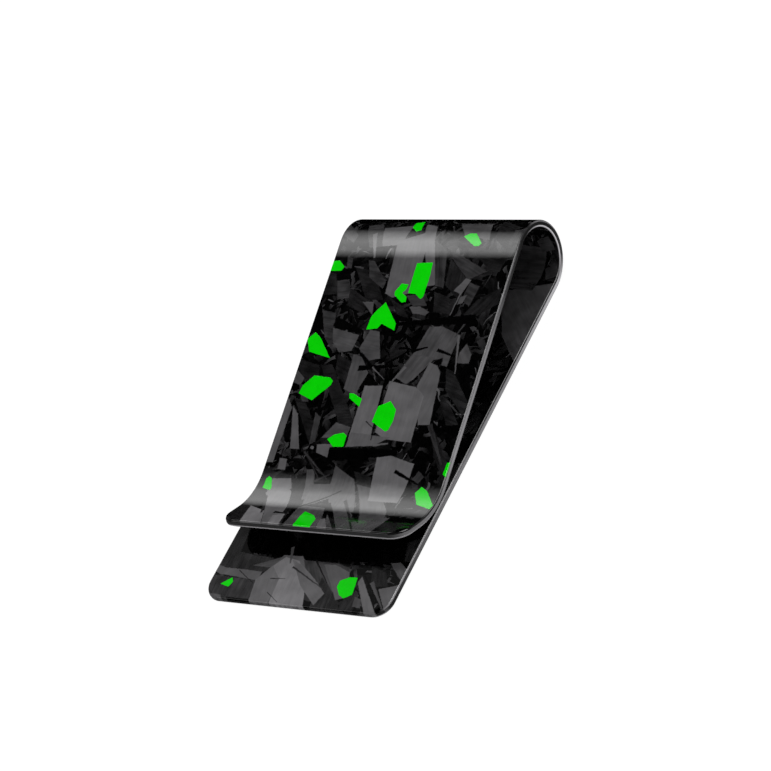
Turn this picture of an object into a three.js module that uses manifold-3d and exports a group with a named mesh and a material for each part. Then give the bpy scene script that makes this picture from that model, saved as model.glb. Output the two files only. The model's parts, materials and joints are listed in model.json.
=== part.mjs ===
// Money clip, in millimetres, +Z up: one springy strip of forged carbon, lying on its back leaf.
//
// The strip is folded once. Seen from the side it runs from the back leaf's tip along +Y, turns
// over through the round bow, comes back down as the front leaf until its heel all but touches
// the back leaf, and flares up again into a short lip that guides the notes in.
// The strip is moulded from three bonded plies, an outer skin, a core and an inner skin, and
// green flakes are inlaid flush with the skins. It flexes at the bow, so the plies are cut where
// the bow meets each leaf, and each of the three zones is a rigid piece on its own hinge.
//
// A place on the strip is given by its station, the developed length from the back leaf's tip
// along the mid-line, and by x across the strip. The outward side of the strip is the one that
// faces away from the notes.

import * as THREE from 'three';
import { mergeVertices } from 'three/addons/utils/BufferGeometryUtils.js';
import Module from 'manifold-3d';

const wasm = await Module();
wasm.setup();

// ---- Driving dimensions ----

const stripWidth = 25.4;
const stripThickness = 0.8;
const backLeafLength = 46.2;
const backCornerRadius = 2.2;
const bowRadius = 4.15;                                 // of the mid-line
const convergence = THREE.MathUtils.degToRad(13.9);     // of the front leaf towards the back leaf
const heelGap = 0.1;                                    // between the closed leaves
const lipBendRadius = 8.2;                              // of the mid-line
const lipTurn = THREE.MathUtils.degToRad(41.9);         // of the flared lip, away from the back leaf
const lipLength = 3.5;                                  // of the straight end past the bend
const lipCornerRadius = 2.0;

const skinThickness = 0.22;
const bondGap = 0.02;
const flakeThickness = 0.1;
const flakeClearance = 0.02;                            // round a flake and under it, in its pocket

const hingeReach = 1.6;                                 // of the bow's flexing zone into each leaf
const hingeGap = 0.1;                                   // between two zones, so that they can turn

const arcStep = THREE.MathUtils.degToRad(6);            // largest turn of one facet
const cornerFacets = 8;
const overcut = 1;                                      // how far a cutter runs past what it cuts

const skinColor = 0x3a3a3d;
const coreColor = 0x141416;
const flakeColor = 0x00cd00;

// ---- The mid-line, as five legs end to end ----

// The front leaf's length follows from the heel's height over the back leaf.
const heelDrop = lipBendRadius * (1 - Math.cos(convergence));
const bowTop = bowRadius * (1 + Math.cos(convergence));
const frontLeafLength = (bowTop - heelDrop - stripThickness - heelGap) / Math.sin(convergence);

const bowSweep = Math.PI + convergence;
const bowStart = backLeafLength;
const bowEnd = bowStart + bowRadius * bowSweep;
const heelStart = bowEnd + frontLeafLength;
const lipStart = heelStart + lipBendRadius * lipTurn;
const stripEnd = lipStart + lipLength;

// Each leg turns the strip's outward facing by a signed angle over its length: none on a leaf,
// towards the notes round the bow, and away from them at the lip.
const turns = [
  [0, 0],
  [bowStart, bowSweep],
  [bowEnd, 0],
  [heelStart, -lipTurn],
  [lipStart, 0],
];

// A point of a leg, and the angle from +Y towards +Z in which the strip's outward side faces.
function pointOnLeg(leg, distance) {
  if (leg.turn === 0) {
    return {
      y: leg.y - Math.sin(leg.facing) * distance,
      z: leg.z + Math.cos(leg.facing) * distance,
      facing: leg.facing,
    };
  }
  const radius = leg.length / leg.turn;
  const facing = leg.facing + distance / radius;
  return {
    y: leg.y + radius * (Math.cos(facing) - Math.cos(leg.facing)),
    z: leg.z + radius * (Math.sin(facing) - Math.sin(leg.facing)),
    facing,
  };
}

function foldedLegs() {
  const legs = [];
  let at = { y: -backLeafLength / 2, z: stripThickness / 2, facing: -Math.PI / 2 };
  for (let i = 0; i < turns.length; i += 1) {
    const [start, turn] = turns[i];
    const end = i + 1 < turns.length ? turns[i + 1][0] : stripEnd;
    const leg = { start, length: end - start, turn, ...at };
    legs.push(leg);
    at = pointOnLeg(leg, leg.length);
  }
  return legs;
}

const legs = foldedLegs();

function midLine(station) {
  const leg = legs.findLast((candidate) => station >= candidate.start) ?? legs[0];
  return pointOnLeg(leg, station - leg.start);
}

// The point at a height over the mid-line, measured outwards.
function offsetPoint(station, height) {
  const { y, z, facing } = midLine(station);
  return new THREE.Vector2(y + height * Math.cos(facing), z + height * Math.sin(facing));
}

// The stations of a stretch's facets: its two ends, every leg's ends, and steps round the arcs.
function facetStations(from, to) {
  const stations = [from];
  for (const leg of legs) {
    const steps = Math.max(1, Math.ceil(Math.abs(leg.turn) / arcStep));
    for (let i = 0; i < steps; i += 1) {
      const station = leg.start + (leg.length * i) / steps;
      if (station > from && station < to) stations.push(station);
    }
  }
  stations.push(to);
  return stations;
}

// ---- Solids ----

function toSolid(geometry) {
  geometry.deleteAttribute('normal');
  geometry.deleteAttribute('uv');
  const merged = mergeVertices(geometry);
  return new wasm.Manifold(new wasm.Mesh({
    numProp: 3,
    vertProperties: merged.attributes.position.array,
    triVerts: new Uint32Array(merged.index.array),
  }));
}

function toGeometry(solid) {
  const { vertProperties, triVerts } = solid.getMesh();
  const geometry = new THREE.BufferGeometry();
  geometry.setAttribute('position', new THREE.BufferAttribute(vertProperties, 3));
  geometry.setIndex(new THREE.BufferAttribute(triVerts, 1));
  geometry.computeVertexNormals();
  return geometry;
}

// A stretch of the strip between two heights over the mid-line, as wide as asked.
function stretch(from, to, low, high, width) {
  const stations = facetStations(from, to);
  const top = stations.map((station) => offsetPoint(station, high));
  const bottom = stations.map((station) => offsetPoint(station, low)).reverse();
  const section = new THREE.Shape([...top, ...bottom]);
  const geometry = new THREE.ExtrudeGeometry(section, { depth: width, bevelEnabled: false });
  const across = new THREE.Matrix4().makeBasis(
    new THREE.Vector3(0, 1, 0),
    new THREE.Vector3(0, 0, 1),
    new THREE.Vector3(1, 0, 0),
  );
  geometry.applyMatrix4(across);
  geometry.translate(-width / 2, 0, 0);
  return toSolid(geometry);
}

// A prism that stands square on the strip at a station. Its outline is drawn there with x across
// the strip and y along it, and it reaches as far above the mid-line as below.
function prism(outline, station, reach) {
  const { y, z, facing } = midLine(station);
  const geometry = new THREE.ExtrudeGeometry(outline, { depth: 2 * reach, bevelEnabled: false });
  geometry.translate(0, 0, -reach);
  const standing = new THREE.Matrix4().makeBasis(
    new THREE.Vector3(1, 0, 0),
    new THREE.Vector3(0, -Math.sin(facing), Math.cos(facing)),
    new THREE.Vector3(0, -Math.cos(facing), -Math.sin(facing)),
  );
  standing.setPosition(0, y, z);
  geometry.applyMatrix4(standing);
  return toSolid(geometry);
}

// What is cut off one corner of a strip end to round it. The end is at y = 0 and the strip
// runs towards inward, 1 or -1, and side is the corner's side of the strip, 1 or -1.
function cornerCutter(station, radius, side, inward) {
  const half = stripWidth / 2;
  const points = [];
  for (let i = 0; i <= cornerFacets; i += 1) {
    const angle = (i / cornerFacets) * (Math.PI / 2);
    points.push(new THREE.Vector2(
      side * (half - radius * (1 - Math.cos(angle))),
      inward * radius * (1 - Math.sin(angle)),
    ));
  }
  points.push(new THREE.Vector2(side * (half - radius), -inward * overcut));
  points.push(new THREE.Vector2(side * (half + overcut), -inward * overcut));
  points.push(new THREE.Vector2(side * (half + overcut), inward * radius));
  return prism(new THREE.Shape(points), station, stripThickness);
}

const cornerCutters = [-1, 1].flatMap((side) => [
  cornerCutter(0, backCornerRadius, side, 1),
  cornerCutter(stripEnd, lipCornerRadius, side, -1),
]);

// ---- Flakes ----

const outward = 1;
const inward = -1;

// Each flake's outline goes round its corners as [x across the strip, station].
const backLeafFlakes = [
  { name: 'flake_tip_left', side: inward,
    corners: [[-11.0, 1.9], [-9.7, 1.6], [-9.4, 2.3], [-9.8, 2.9]] },
  { name: 'flake_tip_right', side: inward,
    corners: [[6.4, 1.6], [7.3, 2.2], [6.9, 4.4], [5.9, 4.4], [4.8, 3.8], [4.8, 3.0], [5.6, 2.0]] },
  { name: 'flake_rest_face_1', side: outward,
    corners: [[5.2, 38.6], [7.4, 37.4], [8.6, 39.5], [6.8, 41.2]] },
  { name: 'flake_rest_face_2', side: outward,
    corners: [[-8.4, 31.8], [-5.6, 32.2], [-4.9, 34.6], [-7.2, 35.4], [-9.0, 34.0]] },
  { name: 'flake_rest_face_3', side: outward,
    corners: [[3.8, 26.9], [6.2, 27.8], [4.6, 29.9]] },
  { name: 'flake_rest_face_4', side: outward,
    corners: [[-10.3, 17.2], [-8.1, 15.9], [-6.7, 17.6], [-7.9, 19.8], [-9.7, 19.4]] },
  { name: 'flake_rest_face_5', side: outward,
    corners: [[5.4, 10.6], [8.3, 11.4], [8.0, 13.9], [5.9, 14.2], [4.6, 12.7]] },
  { name: 'flake_rest_face_6', side: outward,
    corners: [[-3.9, 5.1], [-1.8, 4.6], [-1.2, 6.7], [-3.0, 7.4]] },
];

const bowFlakes = [
  { name: 'flake_bow_back_left', side: outward,
    corners: [[-8.2, 50.4], [-6.3, 49.6], [-5.5, 51.3], [-7.0, 52.4]] },
  { name: 'flake_bow_back_right', side: outward,
    corners: [[3.4, 47.6], [5.7, 48.1], [5.4, 49.9], [3.9, 50.2]] },
  { name: 'flake_bow_middle', side: outward,
    corners: [[-3.2, 57.6], [-2.1, 57.3], [-1.6, 58.9], [-2.2, 59.1], [-3.1, 58.5]] },
  { name: 'flake_bow_right', side: outward,
    corners: [[4.8, 59.7], [5.5, 59.3], [6.4, 59.3], [7.6, 60.5], [7.3, 60.9], [6.7, 60.9]] },
];

const frontLeafFlakes = [
  { name: 'flake_left_edge', side: outward,
    corners: [[-12.9, 63.0], [-11.7, 62.9], [-10.7, 63.7], [-11.0, 64.2], [-12.9, 64.3]] },
  { name: 'flake_tall', side: outward,
    corners: [[-0.5, 63.1], [1.7, 63.0], [1.9, 64.6], [1.9, 67.3], [1.6, 67.6], [0.7, 67.0],
      [-0.4, 66.9]] },
  { name: 'flake_notched', side: outward,
    corners: [[-1.7, 65.7], [-0.7, 65.8], [-0.8, 66.4], [-1.2, 66.9], [-0.4, 67.4], [-0.3, 68.0],
      [-0.9, 68.1], [-2.2, 67.2], [-2.3, 66.7]] },
  { name: 'flake_arrowhead', side: outward,
    corners: [[-3.1, 68.1], [-0.7, 70.7], [-0.6, 71.6], [-2.7, 70.8], [-3.1, 71.4], [-4.6, 71.6],
      [-4.5, 70.0], [-4.1, 69.3]] },
  { name: 'flake_upper_left', side: outward,
    corners: [[-8.4, 75.3], [-11.7, 74.6], [-12.6, 73.0], [-11.7, 72.1], [-10.7, 72.8]] },
  { name: 'flake_middle_left', side: outward,
    corners: [[-6.9, 78.1], [-7.0, 78.6], [-9.0, 80.6], [-11.2, 79.8], [-11.0, 78.8],
      [-9.8, 77.5], [-7.4, 77.7]] },
  { name: 'flake_sliver', side: outward,
    corners: [[-4.0, 79.5], [-3.4, 79.5], [-2.0, 80.1], [-2.0, 81.1], [-3.8, 80.1]] },
  { name: 'flake_centre', side: outward,
    corners: [[2.7, 83.9], [0.4, 82.8], [0.6, 80.9], [2.1, 80.2], [3.2, 81.2], [3.3, 82.6],
      [3.0, 83.7]] },
  { name: 'flake_lower_left', side: outward,
    corners: [[-5.0, 85.2], [-4.2, 84.6], [-3.0, 84.3], [-2.4, 84.7], [-2.4, 86.0], [-3.8, 86.1]] },
  { name: 'flake_right_edge', side: outward,
    corners: [[12.9, 88.9], [12.2, 88.5], [12.3, 87.1], [12.9, 87.0]] },
  { name: 'flake_lip_right', side: outward,
    corners: [[12.5, 93.2], [10.4, 92.6], [9.4, 91.0], [10.0, 90.1], [10.9, 90.6], [12.6, 92.5]] },
  { name: 'flake_lip_left', side: outward,
    corners: [[-10.4, 92.1], [-11.6, 91.8], [-11.7, 90.5], [-11.4, 90.1], [-10.9, 90.4],
      [-10.3, 91.8]] },
  { name: 'flake_lip_end', side: outward,
    corners: [[-3.0, 95.5], [-1.1, 96.3], [-0.3, 97.1], [0.4, 99.3], [-2.0, 99.3], [-2.8, 96.7]] },
];

// A flake's outline grown by a margin, drawn on the plane that touches its face of the strip.
function flakePrism(flake, margin) {
  const middle = new THREE.Vector2();
  for (const corner of flake.corners) {
    middle.add(new THREE.Vector2(...corner).divideScalar(flake.corners.length));
  }
  const surface = (flake.side * stripThickness) / 2;
  const { facing } = midLine(middle.y);
  const along = new THREE.Vector2(-Math.sin(facing), Math.cos(facing));
  const origin = offsetPoint(middle.y, 0);
  const points = flake.corners.map(([x, station]) => {
    const distance = offsetPoint(station, surface).sub(origin).dot(along);
    return new THREE.Vector2(x - middle.x, distance);
  });
  const grown = points.map((point) => point.setLength(point.length() + margin));
  for (const point of grown) point.x += middle.x;
  return prism(new THREE.Shape(grown), middle.y, stripThickness);
}

// The layer under one face of the strip, from a depth below the face to a height above it.
function faceLayer(side, depth, height, from, to, width) {
  const face = (side * stripThickness) / 2;
  const heights = [face - side * depth, face + side * height];
  return stretch(from, to, Math.min(...heights), Math.max(...heights), width);
}

function flakeSolid(flake) {
  const layer = faceLayer(flake.side, flakeThickness, 0, 0, stripEnd, stripWidth);
  return layer.intersect(flakePrism(flake, 0));
}

function flakePocket(flake) {
  const depth = flakeThickness + flakeClearance;
  const layer = faceLayer(flake.side, depth, overcut, -overcut, stripEnd + overcut,
    stripWidth + 2 * overcut);
  return layer.intersect(flakePrism(flake, flakeClearance));
}

// ---- Pieces ----

function forgedSkinMaterial() {
  return new THREE.MeshStandardMaterial({ color: skinColor, roughness: 0.2, metalness: 0 });
}

function coreMaterial() {
  return new THREE.MeshStandardMaterial({ color: coreColor, roughness: 0.6, metalness: 0 });
}

function flakeMaterial() {
  return new THREE.MeshStandardMaterial({ color: flakeColor, roughness: 0.2, metalness: 0 });
}

function piece(name, solid, material) {
  const mesh = new THREE.Mesh(toGeometry(solid), material);
  mesh.name = name;
  return mesh;
}

// One ply of a zone: its stretch of the strip, with the strip's corners rounded and a pocket
// for each flake that is inlaid in it.
function ply(from, to, low, high, flakes) {
  let solid = stretch(from, to, low, high, stripWidth);
  for (const cutter of cornerCutters) solid = solid.subtract(cutter);
  for (const flake of flakes) solid = solid.subtract(flakePocket(flake));
  return solid;
}

// One rigid zone of the strip: its three bonded plies and its flakes.
function zone(name, from, to, flakes) {
  const group = new THREE.Group();
  const face = stripThickness / 2;
  const bond = face - skinThickness;
  const core = bond - bondGap;
  const outer = flakes.filter((flake) => flake.side === outward);
  const inner = flakes.filter((flake) => flake.side === inward);
  group.add(piece(`${name}_outer_skin`, ply(from, to, bond, face, outer), forgedSkinMaterial()));
  group.add(piece(`${name}_core`, ply(from, to, -core, core, []), coreMaterial()));
  group.add(piece(`${name}_inner_skin`, ply(from, to, -face, -bond, inner), forgedSkinMaterial()));
  for (const flake of flakes) {
    group.add(piece(flake.name, flakeSolid(flake), flakeMaterial()));
  }
  return group;
}

// The strip bends on two lines, one on each leaf a little past the bow.
const backHinge = bowStart - hingeReach;
const frontHinge = bowEnd + hingeReach;

const moneyClip = new THREE.Group();
moneyClip.add(zone('back_leaf', 0, backHinge - hingeGap / 2, backLeafFlakes));
moneyClip.add(zone('bow', backHinge + hingeGap / 2, frontHinge - hingeGap / 2, bowFlakes));
moneyClip.add(zone('front_leaf', frontHinge + hingeGap / 2, stripEnd, frontLeafFlakes));

export default moneyClip;
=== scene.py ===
"""A money clip: one folded strip of glossy forged carbon with green flakes inlaid in it.

The strip is rebuilt here as three plies, an outer skin, a core and an inner skin, with rounded
edges and a fine surface. Each ply is two pieces that meet on the bow's crown, because each half
bends across one of the frame's two hinges. The flakes are cut to the outlines of the frame's own.

A place on the strip is (x across it, station along its mid-line from the back leaf's tip, height
over the mid-line towards the outward side), in millimetres.
"""

import json
import math
import random

import bmesh
import bpy
import numpy as np
from mathutils import Matrix, Vector
from mathutils.geometry import delaunay_2d_cdt

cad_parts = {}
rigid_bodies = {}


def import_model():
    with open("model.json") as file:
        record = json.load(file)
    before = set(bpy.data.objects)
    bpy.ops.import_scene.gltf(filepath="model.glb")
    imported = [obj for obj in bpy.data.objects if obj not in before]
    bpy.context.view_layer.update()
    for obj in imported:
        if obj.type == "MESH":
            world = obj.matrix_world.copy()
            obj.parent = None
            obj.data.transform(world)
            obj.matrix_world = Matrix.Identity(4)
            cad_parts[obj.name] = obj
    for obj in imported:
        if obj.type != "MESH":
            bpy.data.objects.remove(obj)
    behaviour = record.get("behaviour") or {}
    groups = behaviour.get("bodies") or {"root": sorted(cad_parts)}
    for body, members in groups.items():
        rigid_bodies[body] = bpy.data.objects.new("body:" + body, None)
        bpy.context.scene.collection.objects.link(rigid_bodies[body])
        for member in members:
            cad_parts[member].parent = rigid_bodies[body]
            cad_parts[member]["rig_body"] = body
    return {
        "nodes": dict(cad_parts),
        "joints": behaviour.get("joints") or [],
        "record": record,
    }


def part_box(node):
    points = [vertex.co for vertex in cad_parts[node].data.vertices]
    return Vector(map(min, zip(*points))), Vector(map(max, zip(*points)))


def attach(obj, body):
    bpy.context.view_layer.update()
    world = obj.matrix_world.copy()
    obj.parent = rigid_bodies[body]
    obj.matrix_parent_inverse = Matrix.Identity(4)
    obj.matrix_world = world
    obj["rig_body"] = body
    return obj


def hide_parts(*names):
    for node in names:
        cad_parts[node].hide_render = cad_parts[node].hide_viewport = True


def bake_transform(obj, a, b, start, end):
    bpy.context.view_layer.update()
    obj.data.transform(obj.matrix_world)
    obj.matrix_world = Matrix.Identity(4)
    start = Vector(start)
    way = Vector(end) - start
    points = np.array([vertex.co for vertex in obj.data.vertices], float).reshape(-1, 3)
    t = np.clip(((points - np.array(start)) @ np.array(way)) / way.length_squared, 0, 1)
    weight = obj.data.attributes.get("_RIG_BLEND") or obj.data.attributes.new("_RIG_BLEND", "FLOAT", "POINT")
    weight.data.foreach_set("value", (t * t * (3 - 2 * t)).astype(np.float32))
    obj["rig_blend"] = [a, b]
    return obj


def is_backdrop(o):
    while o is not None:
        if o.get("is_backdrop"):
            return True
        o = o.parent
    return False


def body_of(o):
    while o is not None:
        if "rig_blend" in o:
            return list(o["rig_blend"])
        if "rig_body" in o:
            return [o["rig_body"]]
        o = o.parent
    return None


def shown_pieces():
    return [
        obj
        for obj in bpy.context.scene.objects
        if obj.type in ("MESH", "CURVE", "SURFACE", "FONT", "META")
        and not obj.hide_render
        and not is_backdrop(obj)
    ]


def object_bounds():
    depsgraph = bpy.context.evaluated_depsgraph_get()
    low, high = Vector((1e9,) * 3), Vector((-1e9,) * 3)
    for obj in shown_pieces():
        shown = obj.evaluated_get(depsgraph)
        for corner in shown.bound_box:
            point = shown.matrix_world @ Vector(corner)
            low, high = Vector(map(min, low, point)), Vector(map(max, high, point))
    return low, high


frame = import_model()
cad_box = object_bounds()

MM = 0.001

# ---- The strip's driving dimensions, the same as the frame's ----

BACK_LEAF_LENGTH = 46.2
BACK_CORNER_RADIUS = 2.2
THICKNESS = 0.8
BOW_RADIUS = 4.15
CONVERGENCE = math.radians(13.9)
HEEL_GAP = 0.1
LIP_BEND_RADIUS = 8.2
LIP_TURN = math.radians(41.9)
LIP_LENGTH = 3.5
LIP_CORNER_RADIUS = 2.0
SKIN_THICKNESS = 0.22
BOND_GAP = 0.02

FACE = THICKNESS / 2
BOND = FACE - SKIN_THICKNESS
CORE = BOND - BOND_GAP

tip_low, tip_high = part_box("back_leaf_outer_skin")
WIDTH = (tip_high.x - tip_low.x) / MM
TIP_Y = tip_low.y / MM
REST_Z = tip_low.z / MM

HEEL_DROP = LIP_BEND_RADIUS * (1 - math.cos(CONVERGENCE))
BOW_TOP = BOW_RADIUS * (1 + math.cos(CONVERGENCE))
FRONT_LEAF_LENGTH = (BOW_TOP - HEEL_DROP - THICKNESS - HEEL_GAP) / math.sin(CONVERGENCE)
BOW_START = BACK_LEAF_LENGTH
BOW_SWEEP = math.pi + CONVERGENCE
BOW_END = BOW_START + BOW_RADIUS * BOW_SWEEP
HEEL_START = BOW_END + FRONT_LEAF_LENGTH
LIP_START = HEEL_START + LIP_BEND_RADIUS * LIP_TURN
STRIP_END = LIP_START + LIP_LENGTH
CROWN = BOW_START + BOW_RADIUS * math.pi / 2

# ---- Detail ----

EDGE_DEPTH = 0.18        # how far in the strip's polished, rounded edge reaches
BOND_ROUND = 0.015       # radius of the edges at the bond lines
SKIN_INSET = 0.037       # of a skin's outline behind the core's, at the bond line
ROUND_STEPS = 8
CORNER_STEPS = 14
COLUMNS = 30
LEAF_STEP = 1.2
ARC_STEP = math.radians(1.5)
NEAR = 0.01              # slack for places that may lie just past a limit

# The way the surface faces where the bends run out, as (station, degrees from +Y to +Z).
BOW_EASING = [(58.2, 76.3), (58.9, 82.3), (59.9, 87.2), (61.6, 96.1), (62.1, 103.9)]
HEEL_EASING = [
    (89.2, 103.9), (89.5, 98.0), (91.5, 93.1), (92.8, 87.7), (94.0, 82.3), (95.1, 76.0), (96.2, 66.0),
]

FLAKE_PROUD = 0.008      # of a flake's top over the skin
FLAKE_DEPTH = 0.09
FLAKE_ROUND = 0.03
FLAKE_STEP = 0.22        # between the points along a flake's side
FLAKE_GRID = 1.6 * FLAKE_STEP      # between the points inside a flake
FLAKE_CLEAR = 0.7 * FLAKE_STEP     # from a flake's inside points to its rim
FLAKE_BEND = 0.06        # the sine of the least bend that counts as a corner of a flake
LEAST_MITRE = 0.3        # limits how far a sharp corner's point moves when a ring shrinks
FLAKE_RAGGED = 0.02
FLAKE_TRIM = 0.055       # how far inside the strip's edge a flake that reaches it stops
EDGE_ROW_STEP = 0.06     # between a flake's points along the strip's rounded edge


# ---- The folded mid-line ----

def point_on_leg(leg, distance):
    """Where the mid-line is, and the angle from +Y to +Z that the outward side faces."""
    start, length, turn, y, z, facing = leg
    if turn == 0:
        return y - math.sin(facing) * distance, z + math.cos(facing) * distance, facing + 0 * distance
    radius = length / turn
    here = facing + distance / radius
    return (
        y + radius * (np.cos(here) - math.cos(facing)),
        z + radius * (np.sin(here) - math.sin(facing)),
        here,
    )


def folded_legs():
    """The back leaf, bow, front leaf, heel and lip, as (start, length, turn, y, z, facing)."""
    starts = [0, BOW_START, BOW_END, HEEL_START, LIP_START, STRIP_END]
    turns = [0, BOW_SWEEP, 0, -LIP_TURN, 0]
    legs = []
    at = (TIP_Y, REST_Z + FACE, -math.pi / 2)
    for start, end, turn in zip(starts, starts[1:], turns):
        legs.append((start, end - start, turn, *at))
        at = point_on_leg(legs[-1], end - start)
    return legs


LEGS = folded_legs()


def mid_line(station):
    station = np.asarray(station, float)
    y, z, facing = np.zeros((3,) + station.shape)
    for leg in LEGS:
        here = station >= leg[0]
        y[here], z[here], facing[here] = point_on_leg(leg, station[here] - leg[0])
    return y, z, facing


def fold(x, station, height):
    """Places on the strip as points in the frame, in metres."""
    y, z, facing = mid_line(station)
    out = np.stack([x, y + height * np.cos(facing), z + height * np.sin(facing)], axis=-1)
    return out * MM


def eased_facing(station):
    """The way the surface faces, eased where the bends run out into the leaf and the lip."""
    facing = mid_line(station)[2]
    for easing in (BOW_EASING, HEEL_EASING):
        stations = [place for place, _ in easing]
        turns = np.radians([turn for _, turn in easing])
        eased = np.interp(station, stations, turns)
        facing = np.where((station > stations[0]) & (station < stations[-1]), eased, facing)
    return facing


def fold_direction(station, direction):
    """Directions (across, along, outward) on the strip as directions in the frame."""
    facing = eased_facing(np.asarray(station, float))
    across, along, outward = np.moveaxis(direction, -1, 0)
    y = -np.sin(facing) * along + np.cos(facing) * outward
    z = np.cos(facing) * along + np.sin(facing) * outward
    return np.stack([across, y, z], axis=-1)


def unfold(point):
    """The place on the strip of a point in the frame."""
    x, y, z = np.asarray(point) / MM
    for start, length, turn, y0, z0, facing in LEGS:
        if turn == 0:
            along = -math.sin(facing) * (y - y0) + math.cos(facing) * (z - z0)
            height = math.cos(facing) * (y - y0) + math.sin(facing) * (z - z0)
        else:
            radius = length / turn
            dy = y - (y0 - radius * math.cos(facing))
            dz = z - (z0 - radius * math.sin(facing))
            side = math.copysign(1, radius)
            angle = math.remainder(math.atan2(side * dz, side * dy) - facing - turn / 2, 2 * math.pi)
            along = (angle + turn / 2) * radius
            height = side * math.hypot(dy, dz) - radius
        if -NEAR <= along <= length + NEAR and abs(height) < FACE + 5 * NEAR:
            return np.array([x, start + along, height])
    raise ValueError(f"the point {point} is not on the strip")


# ---- Meshes ----

def rounding(distance, radius):
    """How far a rounded edge lies below its face, and the sine of its lean, at a distance in."""
    lean = np.clip(1 - distance / radius, 0, 1)
    return radius * (1 - np.sqrt(1 - lean**2)), lean


def unit_rows(rows):
    return rows / np.linalg.norm(rows, axis=1)[:, None]


def slab(name, plan, faces, rim, rim_out, top, bottom, edge):
    """A closed body over a plan of (x, station) points.

    top and bottom are each (heights, unit directions on the strip), one per plan point. The
    plan's faces go clockwise and its rim the other way, with x to the right and station upwards.
    rim_out is each rim edge's outward direction at its two ends, and edge is how far each plan
    point lies from the strip's edge.
    """
    count = len(plan)
    x, station = plan[:, 0], plan[:, 1]
    places = np.concatenate([np.column_stack([x, station, top[0]]),
                             np.column_stack([x, station, bottom[0]])])
    points = fold(*places.T)
    directions = np.concatenate([fold_direction(station, top[1]), fold_direction(station, bottom[1])])
    polygons = [list(face) for face in faces]
    polygons += [[v + count for v in reversed(face)] for face in faces]
    normals = [directions[v] for polygon in polygons for v in polygon]
    for a, b, (out_a, out_b) in zip(rim, np.roll(rim, -1), rim_out):
        polygons.append([a, b, b + count, a + count])
        ends = fold_direction(station[[a, b]], np.array([[*out_a, 0], [*out_b, 0]]))
        normals += [ends[0], ends[1], ends[1], ends[0]]
    mesh = bpy.data.meshes.new(name)
    mesh.from_pydata([tuple(p) for p in points], [], [[int(v) for v in polygon] for polygon in polygons])
    mesh.update()
    mesh.shade_smooth()
    place = mesh.attributes.new("strip_place", "FLOAT_VECTOR", "POINT")
    place.data.foreach_set("vector", places.astype(np.float32).ravel())
    from_edge = mesh.attributes.new("from_edge", "FLOAT", "POINT")
    from_edge.data.foreach_set("value", np.tile(edge, 2).astype(np.float32))
    mesh.normals_split_custom_set([tuple(n) for n in normals])
    piece = bpy.data.objects.new(name, mesh)
    bpy.context.scene.collection.objects.link(piece)
    return piece


# ---- Plies ----

def merged_steps(values, least=0.004):
    """Sorted values, without those that come closer than least to the one before."""
    kept = []
    for value in sorted(values):
        if not kept or value - kept[-1] > least:
            kept.append(float(value))
    return kept


def round_steps(inset):
    """Distances from the strip's edge, past an inset, that draw its rounding evenly."""
    turns = np.linspace(math.acos(1 - inset / EDGE_DEPTH), math.pi / 2, ROUND_STEPS)
    return [EDGE_DEPTH * (1 - math.cos(turn)) for turn in turns]


def end_steps(corner_radius, inset):
    """Distances from a free end that draw its rounded corners and its rounded edge."""
    turns = np.linspace(0, math.pi / 2, CORNER_STEPS)
    corner = [inset + (corner_radius - inset) * (1 - math.cos(turn)) for turn in turns]
    return corner + round_steps(inset)


def ply_stations(start, end, inset):
    """The rows of a ply's mesh, between two stations."""
    rows = {start + inset if start == 0 else start, end - inset if end == STRIP_END else end}
    for leg_start, length, turn, *_ in LEGS:
        steps = math.ceil(max(abs(turn) / ARC_STEP, length / LEAF_STEP))
        rows.update(leg_start + length * i / steps for i in range(steps))
    rows.update(end_steps(BACK_CORNER_RADIUS, inset))
    rows.update(STRIP_END - step for step in end_steps(LIP_CORNER_RADIUS, inset))
    low, high = max(start, inset), min(end, STRIP_END - inset)
    return merged_steps(row for row in rows if low <= row <= high)


def half_width(station, inset):
    """Half the width of the strip's outline at a station."""
    half = WIDTH / 2 - inset
    for radius, into in ((BACK_CORNER_RADIUS, station), (LIP_CORNER_RADIUS, STRIP_END - station)):
        if into < radius:
            curve = radius - inset
            deep = radius - into
            half = min(half, WIDTH / 2 - radius + math.sqrt(max(curve**2 - deep**2, 0)))
    return half


def edge_distance(x, station):
    """How far a place lies inside the strip's outline, and the direction to its nearest edge."""
    side = math.copysign(1, x)
    best = (WIDTH / 2 - abs(x), (side, 0.0))
    ends = ((BACK_CORNER_RADIUS, station, -1.0), (LIP_CORNER_RADIUS, STRIP_END - station, 1.0))
    for radius, into, along in ends:
        past = abs(x) - (WIDTH / 2 - radius)
        deep = radius - into
        if deep > 0 and past > 0:
            reach = math.hypot(past, deep)
            best = min(best, (radius - reach, (side * past / reach, along * deep / reach)))
        else:
            best = min(best, (into, (0.0, along)))
    return max(best[0], 0.0), best[1]


def edge_distances(plan):
    near = [edge_distance(x, station) for x, station in plan]
    return np.array([entry[0] for entry in near]), np.array([entry[1] for entry in near])


def strip_face(plan, side):
    """Heights and directions of the strip's outward (side 1) or inward (side -1) face, which
    runs round at its edges to meet the other in half an ellipse."""
    distance, out = edge_distances(plan)
    share = np.clip(1 - distance / EDGE_DEPTH, 0, 1)
    rise = np.sqrt(1 - share**2)
    lean = np.column_stack([out * (share / EDGE_DEPTH)[:, None], side * rise / FACE])
    return side * FACE * rise, unit_rows(lean)


def bond_face(plan, inset, height, side):
    """Heights and directions of a flat face at a bond line, with its edge just broken."""
    distance, out = edge_distances(plan)
    drop, lean = rounding(distance - inset, BOND_ROUND)
    upright = side * np.sqrt(1 - lean**2)
    return height - side * drop, np.column_stack([out * lean[:, None], upright])


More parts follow.
